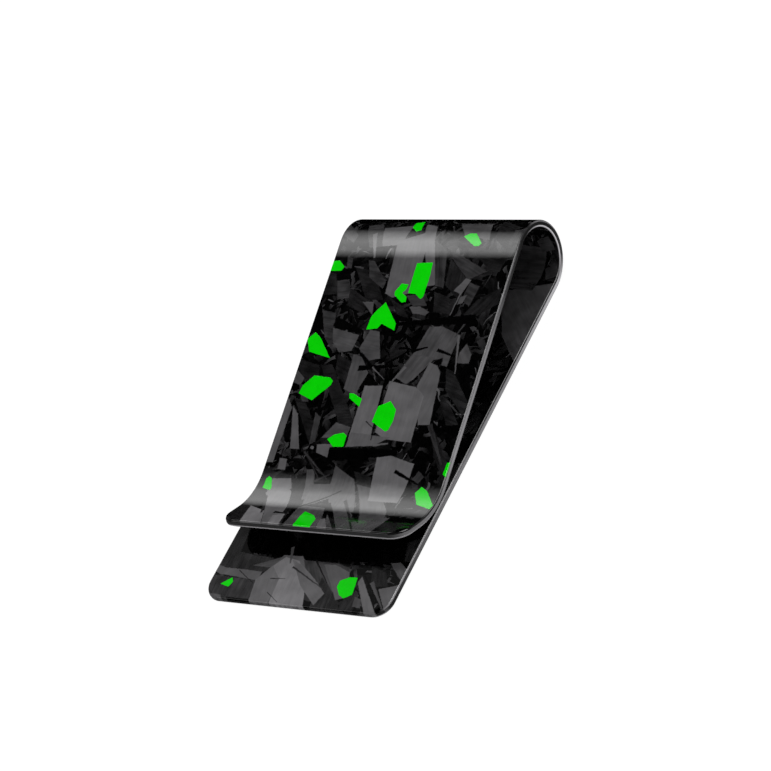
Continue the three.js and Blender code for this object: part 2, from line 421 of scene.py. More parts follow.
def ply(name, start, end, inset, top_face, bottom_face):
    """One ply of the strip between two stations, with its free edges rounded."""
    rows = ply_stations(start, end, inset)
    edge = [step - inset for step in round_steps(inset)]
    plan = []
    for station in rows:
        half = half_width(station, inset)
        inner = np.linspace(edge[-1] - half, half - edge[-1], COLUMNS)
        line = [step - half for step in edge[:-1]] + list(inner) + [half - step for step in edge[-2::-1]]
        plan += [(x, station) for x in line]
    plan = np.array(plan)
    width = len(line)
    last = len(rows) - 1

    def vertex(row, column):
        return row * width + column

    faces = [
        (vertex(i, j), vertex(i + 1, j), vertex(i + 1, j + 1), vertex(i, j + 1))
        for i in range(last) for j in range(width - 1)
    ]
    rim = [vertex(0, j) for j in range(width)]
    rim += [vertex(i, width - 1) for i in range(1, last + 1)]
    rim += [vertex(last, j) for j in range(width - 2, -1, -1)]
    rim += [vertex(i, 0) for i in range(last - 1, 0, -1)]

    def out_at(v, across):
        if across:
            return (0.0, across)
        return edge_distance(*plan[v])[1]

    rim_out = []
    for index, (a, b) in enumerate(zip(rim, np.roll(rim, -1))):
        across = 0.0
        if index < width - 1:
            across = -1.0
        elif width + last - 2 < index < 2 * width + last - 2:
            across = 1.0
        rim_out.append((out_at(a, across), out_at(b, across)))
    from_edge = edge_distances(plan)[0]
    return slab(name, plan, faces, rim, rim_out, top_face(plan), bottom_face(plan), from_edge)


# ---- Flakes ----

def face_outline(node):
    """The outline of a flake's outer face, as (x, station) corners, and the side it looks to."""
    solid = bmesh.new()
    solid.from_mesh(frame["nodes"][node].data)
    bmesh.ops.remove_doubles(solid, verts=solid.verts, dist=1e-6)
    places = {v: unfold(v.co) for v in solid.verts}
    side = math.copysign(1, sum(place[2] for place in places.values()))
    on_face = {v for v, place in places.items() if side * place[2] > FACE - FLAKE_DEPTH / 2}
    top = {face for face in solid.faces if on_face.issuperset(face.verts)}
    linked = {}
    for edge in solid.edges:
        if sum(face in top for face in edge.link_faces) == 1:
            for a, b in (edge.verts, reversed(edge.verts)):
                linked.setdefault(a, []).append(b)
    walk = [next(iter(linked))]
    while len(walk) < len(linked):
        walk.append(next(v for v in linked[walk[-1]] if v not in walk[-2:] and v not in walk))
    outline = np.array([places[v][:2] for v in walk])
    solid.free()
    return straightened(outline), side


def turned(a, b):
    return a[..., 0] * b[..., 1] - a[..., 1] * b[..., 0]


def straightened(outline):
    """The outline without points in the middle of a straight side, with its inside on the left."""
    before = outline - np.roll(outline, 1, axis=0)
    after = np.roll(outline, -1, axis=0) - outline
    bend = turned(before, after) / np.linalg.norm(before, axis=1) / np.linalg.norm(after, axis=1)
    kept = outline[np.abs(bend) > FLAKE_BEND]
    area = turned(kept, np.roll(kept, -1, axis=0)).sum()
    return kept if area > 0 else kept[::-1]


def at_strip_edge(point):
    limit = FLAKE_TRIM + NEAR
    return abs(point[0]) > WIDTH / 2 - limit or point[1] > STRIP_END - limit


def trimmed(point):
    """A place moved in from the strip's edge, if it is closer to it than a flake may be."""
    limit = WIDTH / 2 - FLAKE_TRIM
    return np.array([np.clip(point[0], -limit, limit), min(point[1], STRIP_END - FLAKE_TRIM)])


def side_shares(a, b):
    """Where points go along a side: evenly, and closer together over the strip's rounded edge."""
    length = np.linalg.norm(b - a)
    steps = max(1, round(length / FLAKE_STEP))
    shares = [i / steps for i in range(1, steps)]
    for from_edge in round_steps(FLAKE_TRIM)[1:]:
        edges = ((0, WIDTH / 2 - from_edge), (0, from_edge - WIDTH / 2), (1, STRIP_END - from_edge))
        for axis, edge in edges:
            if abs(b[axis] - a[axis]) > NEAR:
                shares.append((edge - a[axis]) / (b[axis] - a[axis]))
    return merged_steps([share for share in shares if 0.01 < share < 0.99], NEAR / length)


def ragged(outline, rng):
    """The outline with points along its sides, torn a little where it isn't the strip's edge."""
    points = []
    for a, b in zip(outline, np.roll(outline, -1, axis=0)):
        across = np.array([a[1] - b[1], b[0] - a[0]]) / np.linalg.norm(b - a)
        straight = at_strip_edge(a) and at_strip_edge(b)
        points.append(a)
        for share in side_shares(a, b):
            point = a + (b - a) * share
            near_edge = edge_distance(*point)[0] < EDGE_DEPTH
            tear = 0 if straight or near_edge else rng.uniform(-FLAKE_RAGGED, FLAKE_RAGGED)
            points.append(point + across * tear)
    return np.array(points)


def outward_normals(ring):
    """The direction out of a ring at each of its points, for a ring with its inside on the left."""
    side = np.roll(ring, -1, axis=0) - ring
    normal = np.column_stack([side[:, 1], -side[:, 0]]) / np.linalg.norm(side, axis=1)[:, None]
    mean = normal + np.roll(normal, 1, axis=0)
    return mean / np.maximum(np.linalg.norm(mean, axis=1), LEAST_MITRE)[:, None]


def inside(ring, x, station, margin):
    """Whether a place lies inside a ring, at least a margin from its points."""
    a, b = ring, np.roll(ring, -1, axis=0)
    crosses = (a[:, 1] > station) != (b[:, 1] > station)
    rise = np.where(crosses, b[:, 1] - a[:, 1], 1)
    at = a[:, 0] + (station - a[:, 1]) * (b[:, 0] - a[:, 0]) / rise
    clear = np.hypot(a[:, 0] - x, a[:, 1] - station).min() > margin
    return clear and (crosses & (at > x)).sum() % 2 == 1


def inside_points(ring):
    """Points inside a ring: an even grid, and rows that follow the strip's rounded edge."""
    low, high = ring.min(axis=0), ring.max(axis=0)
    across = np.arange(low[0] + FLAKE_GRID / 2, high[0], FLAKE_GRID)
    along = np.arange(low[1] + FLAKE_GRID / 2, high[1], FLAKE_GRID)
    found = []
    for x in across:
        for station in along:
            past_edge = edge_distance(x, station)[0] > EDGE_DEPTH
            if past_edge and inside(ring, x, station, FLAKE_CLEAR):
                found.append((x, station))
    across = np.arange(low[0], high[0], EDGE_ROW_STEP)
    along = np.arange(low[1], high[1], EDGE_ROW_STEP)
    for from_edge in round_steps(FLAKE_TRIM + FLAKE_ROUND)[1:]:
        rows = [(side * (WIDTH / 2 - from_edge), station) for side in (-1, 1) for station in along]
        rows += [(x, STRIP_END - from_edge) for x in across]
        found += [(x, station) for x, station in rows if inside(ring, x, station, 2 * NEAR)]
    return found


def flake(node):
    """A green flake to the outline of a frame node, following the strip's face and edges."""
    outline, side = face_outline(node)
    rng = random.Random(node)
    rim = ragged(np.array([trimmed(corner) for corner in outline]), rng)
    out = outward_normals(rim)
    count = len(rim)
    insets = [0, FLAKE_ROUND * 0.3, FLAKE_ROUND]
    rings = [rim - out * inset for inset in insets]
    inner = inside_points(rings[-1])
    filled = delaunay_2d_cdt(
        [Vector(p) for p in rings[-1]] + [Vector(p) for p in inner],
        [], [list(range(count))], 1, 1e-6,
    )
    plan = np.concatenate(rings[:-1] + [np.array([tuple(p) for p in filled[0]])])
    base = 2 * count
    faces = []
    for ring in range(2):
        for i in range(count):
            j = (i + 1) % count
            a, b = ring * count, (ring + 1) * count
            faces.append((a + i, b + i, b + j, a + j))
    for a, b, c in filled[2]:
        corner = plan[[base + a, base + b, base + c]]
        clockwise = turned(corner[1] - corner[0], corner[2] - corner[0]) < 0
        faces.append((base + a, base + b, base + c) if clockwise else (base + a, base + c, base + b))
    inset = np.concatenate([np.repeat(insets, count), np.full(len(plan) - 3 * count, FLAKE_ROUND)])
    lean_way = np.concatenate([out, out, out, np.zeros((len(plan) - 3 * count, 2))])
    drop, lean = rounding(inset, FLAKE_ROUND)
    height, direction = strip_face(plan, side)
    direction[:, :2] += lean_way * lean[:, None]
    shown = height + side * (FLAKE_PROUD - drop), unit_rows(direction)
    hidden = height - side * FLAKE_DEPTH, np.tile([0.0, 0.0, -side], (len(plan), 1))
    top, bottom = (shown, hidden) if side > 0 else (hidden, shown)
    rim_out = [(tuple(out[i]), tuple(out[(i + 1) % count])) for i in range(count)]
    edge = edge_distances(plan)[0]
    return slab(node + "_inlay", plan, faces, np.arange(count), rim_out, top, bottom, edge)


# ---- How the pieces bend and ride ----

# Each half of the strip bends from its leaf, a little before the hinge, to the bow, which it
# follows wholly by the time it reaches the crown's inner face.
hinge_y = {joint["name"]: joint["pos_m"][1] for joint in frame["joints"]}
BEND_MARGIN = 1.3 * MM
CROWN_MARGIN = 0.05 * MM
crown_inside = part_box("bow_inner_skin")[1].y - SKIN_THICKNESS * MM
back_bend = Vector((0, hinge_y["bow_opening"] - BEND_MARGIN, 0))
front_bend = Vector((0, hinge_y["front_leaf_opening"] - BEND_MARGIN, 0))
crown_bend = Vector((0, crown_inside - CROWN_MARGIN, 0))


def bend_back_half(piece):
    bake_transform(piece, "back_leaf", "bow", start=back_bend, end=crown_bend)


def bend_front_half(piece):
    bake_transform(piece, "bow", "front_leaf", start=crown_bend, end=front_bend)


def build_plies(materials):
    """The six ply pieces: an outer skin, a core and an inner skin, each in two halves."""
    layers = {
        "outer_skin": (SKIN_INSET, lambda plan: strip_face(plan, 1),
                       lambda plan: bond_face(plan, SKIN_INSET, BOND, -1)),
        "core": (0.0, lambda plan: bond_face(plan, 0.0, CORE, 1),
                 lambda plan: bond_face(plan, 0.0, -CORE, -1)),
        "inner_skin": (SKIN_INSET, lambda plan: bond_face(plan, SKIN_INSET, -BOND, 1),
                       lambda plan: strip_face(plan, -1)),
    }
    halves = {
        "back": (0, CROWN, "back_leaf", bend_back_half),
        "front": (CROWN, STRIP_END, "front_leaf", bend_front_half),
    }
    for layer, (inset, top_face, bottom_face) in layers.items():
        for half, (start, end, leaf, bend) in halves.items():
            piece = ply(f"{half}_half_{layer}", start, end, inset, top_face, bottom_face)
            piece.data.materials.append(materials[layer])
            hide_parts(f"{leaf}_{layer}", f"bow_{layer}")
            bend(piece)


def build_flakes(material):
    for body, nodes in frame["record"]["behaviour"]["bodies"].items():
        for node in nodes:
            if not node.startswith("flake_"):
                continue
            piece = flake(node)
            piece.data.materials.append(material)
            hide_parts(node)
            if body != "bow":
                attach(piece, body)
            elif unfold(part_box(node)[0])[1] < CROWN:
                bend_back_half(piece)
            else:
                bend_front_half(piece)


# ---- Node graphs ----

def add_node(tree, kind, inputs=(), **settings):
    """A node of a tree, with its inputs, by index or by name, plugged or set."""
    made = tree.nodes.new("ShaderNode" + kind)
    for name, value in settings.items():
        setattr(made, name, value)
    pairs = inputs.items() if isinstance(inputs, dict) else enumerate(inputs)
    for key, value in pairs:
        if isinstance(value, bpy.types.NodeSocket):
            tree.links.new(value, made.inputs[key])
        else:
            made.inputs[key].default_value = value
    return made


def maths(tree, operation, *values):
    return add_node(tree, "Math", values, operation=operation).outputs[0]


def vector(tree, operation, *values):
    return add_node(tree, "VectorMath", values, operation=operation).outputs[0]


def dot(tree, a, b):
    return add_node(tree, "VectorMath", (a, b), operation="DOT_PRODUCT").outputs["Value"]


def combined(tree, *values):
    return add_node(tree, "CombineXYZ", values).outputs[0]


def separated(tree, value):
    return add_node(tree, "SeparateXYZ", (value,)).outputs


def mixed(tree, share, a, b):
    """Vector a where share is 0, and vector b where it is 1."""
    return add_node(tree, "Mix", {0: share, 4: a, 5: b}, data_type="VECTOR").outputs[1]


def remapped(tree, value, low, high, new_low, new_high):
    inputs = (value, low, high, new_low, new_high)
    return add_node(tree, "MapRange", inputs).outputs[0]


def noise(tree, place, scale, detail=2.0):
    inputs = {"Vector": place, "Scale": scale, "Detail": detail}
    return add_node(tree, "TexNoise", inputs)


def noise_between(tree, place, scale, detail, low, high):
    """A noise stretched to run from about low to about high."""
    return remapped(tree, noise(tree, place, scale, detail).outputs[0], 0.3, 0.7, low, high)


def rotated(tree, place, angle):
    inputs = {"Vector": place, "Angle": angle}
    return add_node(tree, "VectorRotate", inputs, rotation_type="Z_AXIS").outputs[0]


def strip_place(tree):
    """The place on the strip, in millimetres, of the point being shaded."""
    found = add_node(tree, "Attribute", attribute_name="strip_place")
    return found.outputs["Vector"]


# ---- Forged carbon ----

# What is known of the chip under a point is a vector: how light it is, the angle its fibres run
# at, and a number of its own.

def shard_layer(tree, chips, place, cell, length, width, lightest, share, seed):
    """Scatters one size of straight-sided chips over the ones below."""
    shifted = vector(tree, "ADD", place, (seed * 37.3, seed * 11.7, 0))
    inputs = {"Vector": shifted, "Scale": 1 / cell, "Randomness": 1.0}
    cells = add_node(tree, "TexVoronoi", inputs, voronoi_dimensions="2D", feature="F1")
    own = separated(tree, cells.outputs["Color"])
    other = add_node(tree, "TexWhiteNoise", {"Vector": cells.outputs["Color"]}, noise_dimensions="3D")
    more = separated(tree, other.outputs["Color"])
    angle = maths(tree, "MULTIPLY", own[0], math.pi)
    from_centre = vector(tree, "SUBTRACT", shifted, cells.outputs["Position"])
    u, v, _ = separated(tree, rotated(tree, from_centre, angle))
    slant = maths(tree, "SUBTRACT", more[0], 0.5)
    u = maths(tree, "MULTIPLY_ADD", v, slant, u)
    half_length = maths(tree, "MULTIPLY_ADD", own[1], length, length * 0.5)
    half_width = maths(tree, "MULTIPLY_ADD", own[2], width, width * 0.4)
    along = maths(tree, "DIVIDE", u, half_length)
    past_end = maths(tree, "ABSOLUTE", along)
    past_side = maths(tree, "DIVIDE", maths(tree, "ABSOLUTE", v), half_width)
    inside = maths(tree, "LESS_THAN", maths(tree, "MAXIMUM", past_end, past_side), 1.0)
    present = maths(tree, "LESS_THAN", more[1], share)
    shade = maths(tree, "MULTIPLY", maths(tree, "POWER", more[2], 1.8), lightest)
    shade = maths(tree, "MULTIPLY", shade, maths(tree, "MULTIPLY_ADD", along, 0.5, 0.6))
    fibres = maths(tree, "MULTIPLY", angle, -1.0)
    chip = combined(tree, shade, fibres, own[2])
    return mixed(tree, maths(tree, "MULTIPLY", inside, present), chips, chip)


def chip_corners(corners):
    """The corners in anticlockwise order."""
    area = sum(a[0] * b[1] - b[0] * a[1] for a, b in zip(corners, corners[1:] + corners[:1]))
    return corners if area > 0 else corners[::-1]


def placed_chip(tree, chips, spot, shade, *corners):
    """Lays one chip over the others. spot is (x, station, 1), and its fibres run along its
    first side."""
    (x0, s0), (x1, s1) = corners[:2]
    angle = math.atan2(s1 - s0, x1 - x0)
    around = chip_corners(list(corners))
    inside = None
    for (x0, s0), (x1, s1) in zip(around, around[1:] + around[:1]):
        length = math.hypot(x1 - x0, s1 - s0)
        side = ((s0 - s1) / length, (x1 - x0) / length, (x0 * s1 - x1 * s0) / length)
        left_of_side = dot(tree, spot, side)
        inside = left_of_side if inside is None else maths(tree, "MINIMUM", inside, left_of_side)
    mask = remapped(tree, inside, -CHIP_BLUR, CHIP_BLUR, 0.0, 1.0)
    return mixed(tree, mask, chips, (shade, angle, (7.3 * x1 + 3.1 * s1) % 1.0))


def splinter(tree, chips, spot, shade, start, end, width):
    """Lays a thin straight chip between two places, pointed at its far end."""
    (x0, s0), (x1, s1) = start, end
    length = math.hypot(x1 - x0, s1 - s0)
    across, along = (s0 - s1) / length * width / 2, (x1 - x0) / length * width / 2
    corners = [
        (x0 + across, s0 + along), (x1 + across * 0.4, s1 + along * 0.4),
        (x1 - across * 0.4, s1 - along * 0.4), (x0 - across, s0 - along),
    ]
    return placed_chip(tree, chips, spot, shade, *corners)


# How much painted highlight the rims carry along the strip, as (station, value): light added on the rounded
# edges where reflections run.
OUTER_RIM_HIGHLIGHT = [
    (0.5, 0.3), (1.5, 0.03), (8, 0.03), (25, 0.2), (44, 0.26), (47, 0.45), (50, 0.04), (52.5, 0.06),
    (54, 0.16), (56.5, 0.16), (58, 0.02), (60, 0.03), (63, 0.13), (86, 0.24), (91, 0.04), (98, 0.008),
]
CORE_RIM_HIGHLIGHT = [
    (3, 0.01), (15, 0.15), (35, 0.27), (47, 0.5), (50, 0.03), (54, 0.002), (60, 0.002), (66, 0.03),
    (72, 0.18), (86, 0.28), (91, 0.18), (98, 0.12), (99.2, 0.004),
]
INNER_RIM_HIGHLIGHT = [
    (0.5, 0), (1.5, 0.22), (17, 0.26), (25, 0.06), (35, 0.01), (44, 0.03), (47, 0.02), (50, 0.55),
    (56, 0.48), (59, 0.01), (66, 0), (72, 0.02), (86, 0.12), (91, 0.12), (94, 0.25),
]
LEAST_LIGHT = 0.0002     # of the resin where it is blackest
EDGE_DARK = 0.2          # how light the chips look on the rounded edges, next to the faces
CHIP_BLUR = 0.05         # half the width of a chip's edge, where resin has run over it
CHIP_TEAR = 0.16         # how far a placed chip's edges wander
CHIP_SWIRL = 1.6         # how far the random chips below are swept along
RESIN = (0.0005, 0.6, 0.5)
# The random chips, lowest layer first, as (cell, length, width, how light at most, share shown).
SHARD_LAYERS = [
    (4.6, 2.4, 1.3, 0.026, 0.7), (3.1, 2, 0.6, 0.045, 0.7), (2.2, 1.6, 0.25, 0.060, 0.7),
    (1.5, 0.9, 0.22, 0.065, 0.6), (1.9, 1.5, 0.08, 0.110, 0.6), (1.3, 0.8, 0.22, 0.001, 0.7),
]
# How light the placed chips are.
BRIGHT, LIGHT, GREY, MID = 0.17, 0.105, 0.084, 0.060
DIM, SMOKY, DARK, BLACK = 0.032, 0.020, 0.012, 0.0004

OUTER_CHIPS = [
    # The bow
    # The three black chips below are painted shade over the bow's crown, where it turns from view.
    (BLACK, (-12.7, 54), (-12.7, 57.3), (-3, 57), (-2, 54.4)),
    (BLACK, (-4, 54.2), (-5, 56.8), (6.4, 57.4), (5, 54)),
    (BLACK, (4, 54.3), (3, 57.3), (12.7, 56.9), (12.7, 54.2)),
    (DIM, (-12.7, 57.8), (-10.2, 59.7), (-10.6, 60.6), (-12.7, 59.5)),
    (DIM, (-9.6, 58.2), (-7.6, 57.9), (-5.6, 61), (-8, 61.2)),
    (GREY, (-7, 58.6), (-3, 58.2), (-3.4, 60.8), (-6.2, 61)),
    (MID, (3.3, 57.7), (7.8, 57.8), (8.5, 60.1), (5, 59.7)),
    (DARK, (8.8, 57), (11.6, 58.2), (11, 61.2), (9.3, 60)),
    # The front leaf's upper end
    (DARK, (-12.7, 64.4), (-11.6, 64.6), (-10.2, 67.2), (-12.7, 67.4)),
    (DIM, (-11.1, 65.5), (-9.4, 65.3), (-8.2, 67.6), (-10.2, 67.9)),
    (DIM, (-10.7, 62.3), (-9.9, 62.6), (-9.6, 63.9), (-10.4, 63.8)),
    (DARK, (-9, 63.8), (-6.2, 64.2), (-3.6, 67.8), (-6, 67.9)),
    (DIM, (-7.5, 62.8), (-6.6, 62.9), (-4, 65.6), (-4.2, 66.4), (-6.6, 65)),
    (DARK, (-8.8, 66.4), (-5.6, 67.9), (-5.8, 69.6), (-8.4, 68.6)),
    (MID, (-6.4, 68.1), (-4.8, 68.1), (-4.4, 69.8)),
    (GREY, (-4.2, 60.4), (-3.6, 67), (-2.4, 67.5), (0.3, 66.8), (0.1, 59)),
    (GREY, (-1.4, 57.9), (1.9, 66), (3, 65.8), (0.4, 58.3)),
    (DIM, (0.9, 60), (3, 65.8), (4.3, 66.2), (3.2, 61.5)),
    (DARK, (4, 62.4), (4.4, 65.8), (6.6, 67.4), (7.4, 65.2)),
    (DIM, (3.6, 61.3), (9.6, 64), (7.3, 65.1), (4.6, 62.8)),
    (DARK, (6, 60.8), (11.8, 62), (11.2, 64.1), (9.8, 63.9)),
    (GREY, (7, 64.9), (7.8, 65.1), (7, 66.9), (5.8, 66.5)),
    (DIM, (7.7, 65.4), (9.2, 65.9), (8.6, 68.4), (7.3, 67.6)),
    (MID, (7, 67.2), (7.8, 67), (7.6, 68), (6.9, 68.2)),
    (DARK, (3.2, 66.6), (5.6, 67.4), (6.4, 69.4), (4, 69.2)),
    (DARK, (8.2, 69.4), (9.4, 67.6), (12.2, 66), (12.4, 68), (9.6, 69.8)),
    (MID, (0.4, 68.6), (1.6, 68.4), (3.4, 69.2), (3, 69.6), (1.2, 69.4)),
    (DIM, (-0.6, 67.2), (1.6, 67), (2.8, 68.4), (1, 68.6)),
    (DARK, (-2.6, 67.6), (-0.4, 68.6), (0.8, 70), (-1, 69.6)),
    # Its middle
    (DIM, (-11.8, 69.3), (-9.7, 69.6), (-8.5, 74.3), (-10.2, 72.7)),
    (MID, (-9.4, 71.5), (-5.3, 72.3), (-5.7, 74.3), (-7.4, 74.5), (-8.7, 73.4)),
    (DARK, (-12.6, 75.6), (-9.6, 76.2), (-9, 78), (-12.4, 78.4)),
    (MID, (-12.7, 76.8), (-11.1, 77.9), (-11.4, 78.8), (-12.7, 78.4)),
    (DARK, (-9.3, 76.2), (-7.8, 76), (-2.2, 82.8), (-2.2, 83.7), (-4.2, 83.2)),
    (DARK, (-7.4, 74.8), (-5.2, 75.6), (-4.9, 78.6), (-7, 77)),
    (MID, (-4, 71.6), (-2.6, 71.8), (-1.3, 75.1), (-2.7, 75.4), (-4.7, 74)),
    (MID, (-5.2, 74.7), (-5, 79), (-3.2, 79.7), (-2.3, 76.9), (-3.9, 75)),
    (MID, (4.1, 71), (3, 74.6), (6.6, 75), (8.3, 74.3), (8.6, 71.9), (5.8, 70.9)),
    (MID, (3, 74.4), (1.6, 77.3), (3.4, 78.1), (4.2, 77.5), (6.3, 74.8)),
    (MID, (7.3, 74.2), (8.3, 74.4), (8.2, 75.8), (7.4, 75.6)),
    (GREY, (5.7, 75.3), (5, 78.3), (6.8, 82.9), (8.4, 82.8), (7.6, 76.6), (6.9, 75.7)),
    (MID, (9.9, 72.9), (11, 74.2), (11, 75.3), (9.4, 75.3), (9.3, 74.1)),
    (DARK, (8.2, 76), (9.4, 76.4), (12.6, 80), (12.4, 81.6), (9, 78.6)),
    (DARK, (8.4, 79.2), (9.6, 79.6), (12.2, 82.6), (10.6, 82.8)),
    (LIGHT, (-2.2, 78.5), (-2.1, 85), (0.9, 84.9), (0.3, 78.4)),
    (LIGHT, (1.05, 77.8), (1.3, 84), (2.8, 84.8), (6.6, 85), (6.4, 79.4), (4.9, 78.4)),
    (DARK, (-11.6, 80.4), (-10, 80.6), (-6.4, 84.8), (-7.2, 86)),
    (DIM, (-11.6, 78.6), (-10.6, 78.8), (-9.4, 80.8), (-10.4, 80.8)),
    (GREY, (-11.4, 81.4), (-9.8, 86.6), (-8.5, 86.6), (-10.3, 82.4)),
    (DIM, (-7.9, 82), (-7.3, 86), (-6.6, 85.6), (-6.9, 82.6)),
    (GREY, (-12.7, 80.1), (-12.7, 88.4), (-11.6, 88.4), (-11.5, 81.6)),
    (MID, (-5.9, 85.1), (-2.4, 84.8), (-2.3, 83.6), (-4.5, 83.1)),
    (GREY, (-6.2, 85.9), (-5.9, 86.9), (-4.1, 87.4), (-3.9, 85.7)),
    (GREY, (-2, 84.2), (-2.1, 86), (1.5, 85.7), (3.6, 84.6)),
    (DARK, (8.4, 82.9), (9.4, 83.6), (12.7, 87.6), (12.7, 89.6), (10.4, 86.6)),
    # The lip
    (GREY, (-10.8, 87.8), (-10.6, 89.2), (-9.5, 89.2), (-9.7, 87.9)),
    (DARK, (-12.7, 88.8), (-12.7, 97), (-10.6, 99.7), (-9.2, 99.7), (-10.6, 89.6)),
    (MID, (-4.8, 94.2), (-3.2, 99.8), (1.8, 99.8), (-1, 94.4)),
    (LIGHT, (-10.8, 90.4), (-10.6, 92.6), (-6, 99.8), (-3.6, 99.8), (-7.4, 91.8), (-8.2, 90.2)),
    (BRIGHT, (-11.1, 95.1), (-9.3, 99.8), (-6.1, 99.8), (-8.4, 96.1)),
    (DARK, (-7.9, 90.2), (-5.6, 96.4), (-4.4, 95.4), (-5.4, 90.2)),
    (MID, (-6.4, 89), (-5.2, 93.2), (-4, 93.2), (-5.3, 88.9)),
    (MID, (-5.2, 90.8), (-4.4, 94.6), (0.4, 91.4), (-2.4, 90.6)),
    (BRIGHT, (-6.4, 97), (-5.3, 99.8), (-3.8, 99.8), (-5.1, 96.5)),
    (MID, (-2.6, 88.3), (-2.4, 91.4), (2.8, 99.8), (5.8, 99.8), (0.6, 89.8)),
    (DARK, (0.2, 88.8), (1.8, 91.2), (3.8, 93.4), (2.8, 89.4)),
    (LIGHT, (0.3, 97), (1.6, 99.8), (3.2, 99.8), (0.8, 96.8)),
    (MID, (1.2, 90.4), (6.4, 98.4), (8.7, 97.4), (7.4, 94.2), (4.6, 91)),
    (LIGHT, (2.7, 87), (3.1, 90.2), (3.8, 92.6), (7.8, 92.6), (8, 87.5), (4.5, 86.7)),
    (MID, (4.2, 97.4), (4.6, 99.8), (8.6, 99.8), (8.7, 95.4), (6.6, 95.8)),
    (DIM, (8.9, 88.3), (8.2, 89.6), (9.2, 90), (9.9, 88.9)),
    (BLACK, (8.7, 95.2), (8.6, 99.8), (12.8, 99.8), (12.8, 95.2)),
]

OUTER_SPLINTERS = [
    (BLACK, (-9.4, 70.7), (-5, 71.9), 1.2),
    (BLACK, (2.6, 74.1), (4.8, 73.5), 0.45),
    (BLACK, (6.2, 73.8), (9.2, 74.6), 0.4),
    (BLACK, (-3.9, 76.4), (1.6, 75.9), 0.7),
    (BLACK, (-5.3, 73.9), (0.6, 77.9), 0.3),
    (GREY, (-2, 76.2), (0.2, 77.6), 0.18),
    (BLACK, (-4.2, 87), (5.2, 86.3), 1.7),
    (GREY, (1.6, 85.6), (3.6, 85.3), 0.35),
    (BLACK, (7, 83.3), (12.7, 83.3), 0.8),
    (BLACK, (0.5, 78.4), (1.1, 85), 0.3),
    (BLACK, (-0.4, 82.8), (1, 83.6), 0.14),
    (BLACK, (5.7, 88.5), (9.4, 89.9), 0.45),
    (BLACK, (-5.2, 95), (-0.5, 91.4), 0.36),
    (BLACK, (-6.9, 96.2), (-5.2, 96.3), 0.5),
    (BLACK, (-5, 94.6), (-3.6, 99.2), 0.7),
    (DARK, (-7.3, 87), (-4, 90.4), 0.35),
    (DIM, (-7.6, 86.9), (-3.2, 90), 0.25),
    (DIM, (-4.9, 90.4), (-3, 89.4), 0.3),
    (GREY, (-7.9, 59.4), (-6.8, 62.5), 0.6),
    (GREY, (6.9, 66.8), (6.4, 69.5), 0.22),
    (GREY, (8.5, 71.9), (9.6, 76.6), 0.35),
    (DIM, (8.8, 70.5), (8, 72.2), 0.3),
    (DIM, (8.4, 82.8), (11.6, 87.4), 0.6),
    (DIM, (9.6, 79.8), (12.4, 81.8), 0.25),
    (GREY, (2.6, 76), (1, 78.4), 0.35),
    (BLACK, (-1.2, 93.6), (4.4, 99.8), 0.8),
    (DARK, (0.8, 92.8), (6.4, 99.4), 0.4),
    (BLACK, (3, 94.8), (5.6, 97.2), 0.3),
    (DARK, (-10.4, 93), (-8.4, 96.6), 0.5),
    (DARK, (-7.6, 91.7), (-5.9, 92.9), 0.2),
    (BLACK, (10, 69.9), (-0.6, 70.8), 1.2),
]

